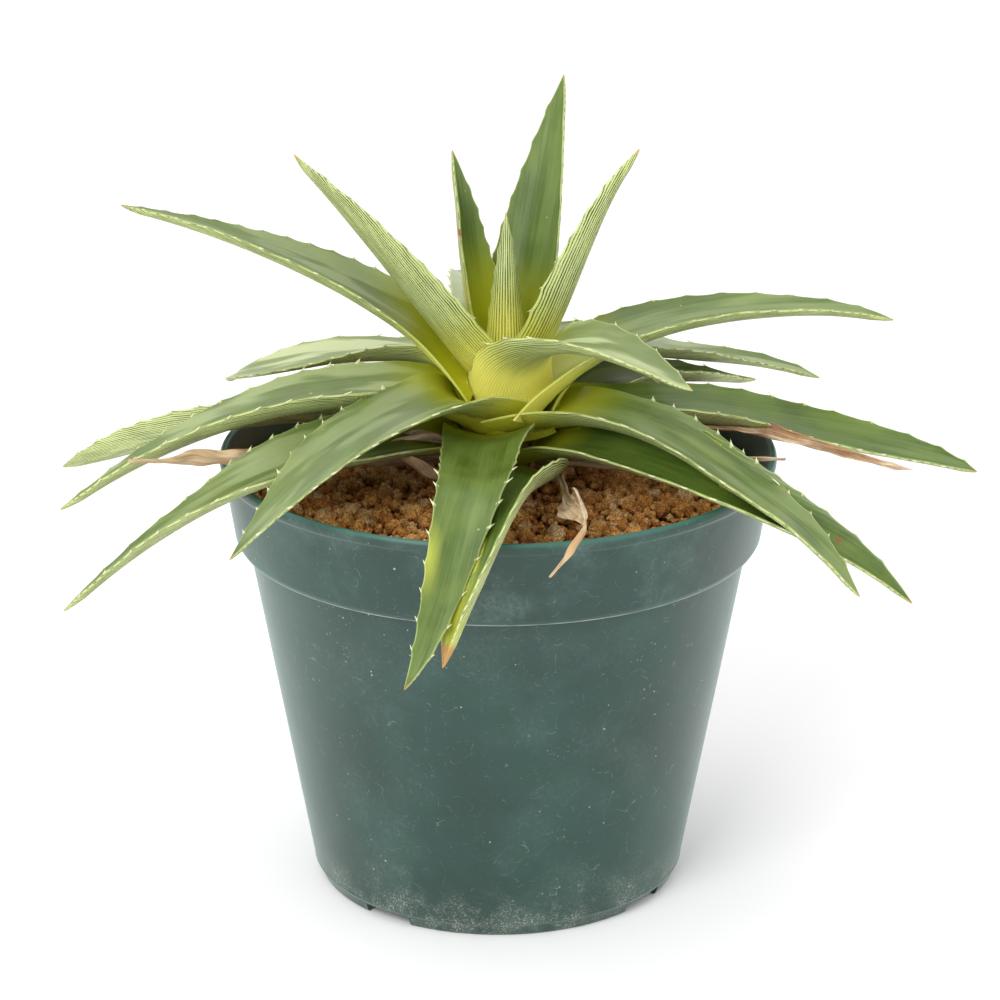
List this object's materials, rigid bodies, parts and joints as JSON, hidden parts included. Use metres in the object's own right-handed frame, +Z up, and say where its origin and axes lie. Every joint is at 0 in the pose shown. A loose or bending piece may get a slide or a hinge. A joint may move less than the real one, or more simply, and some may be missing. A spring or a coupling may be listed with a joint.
{
  "type": "potted dyckia plant",
  "caption": "Spiny rosette plant with arching channelled leaves, rooted in coarse clay granules in a round nursery pot with a rim band.",
  "frame": {"origin": "on the surface that the pot stands on, under the middle of the whole plant; the pot's own axis stands at x -3.8 mm, y +6.9 mm", "axes": "+Z up, -Y the front that faces the viewer, +X the viewer's right"},
  "size_m": [0.2489, 0.2105, 0.2186],
  "materials": {
    "pot_plastic": "dusty dark blue-green polypropylene, half matt, pale mineral bloom round the foot",
    "clay_granules": "rough porous fired clay granules, red-brown to ochre",
    "stem": "dull yellow-green with dry brown scars",
    "living_leaf": "satin grey-green upper face, cream translucent margin and spines, underside with fine lengthwise white scale lines",
    "dry_leaf": "papery tan, matt"
  },
  "bodies": {
    "root": {"pot": "pot_plastic", "soil": "clay_granules", "trunk": "stem", "leaf_01": "living_leaf", "leaf_02": "living_leaf", "leaf_03": "living_leaf", "leaf_04": "living_leaf", "leaf_05": "living_leaf", "leaf_06": "living_leaf", "leaf_07": "living_leaf", "leaf_08": "living_leaf", "leaf_09": "living_leaf", "leaf_10": "living_leaf", "leaf_11": "living_leaf", "leaf_12": "living_leaf", "leaf_13": "living_leaf", "leaf_14": "living_leaf", "leaf_15": "living_leaf", "leaf_16": "living_leaf", "leaf_17": "living_leaf", "leaf_18": "living_leaf", "leaf_19": "living_leaf", "leaf_20": "living_leaf", "leaf_21": "living_leaf", "leaf_22": "living_leaf", "leaf_23": "living_leaf", "leaf_24": "living_leaf", "dry_leaf_1": "dry_leaf", "dry_leaf_2": "dry_leaf", "dry_leaf_3": "dry_leaf", "dry_leaf_4": "dry_leaf", "dry_leaf_5": "dry_leaf", "dry_leaf_6": "dry_leaf", "dry_leaf_7": "dry_leaf"}
  },
  "joints": []
}
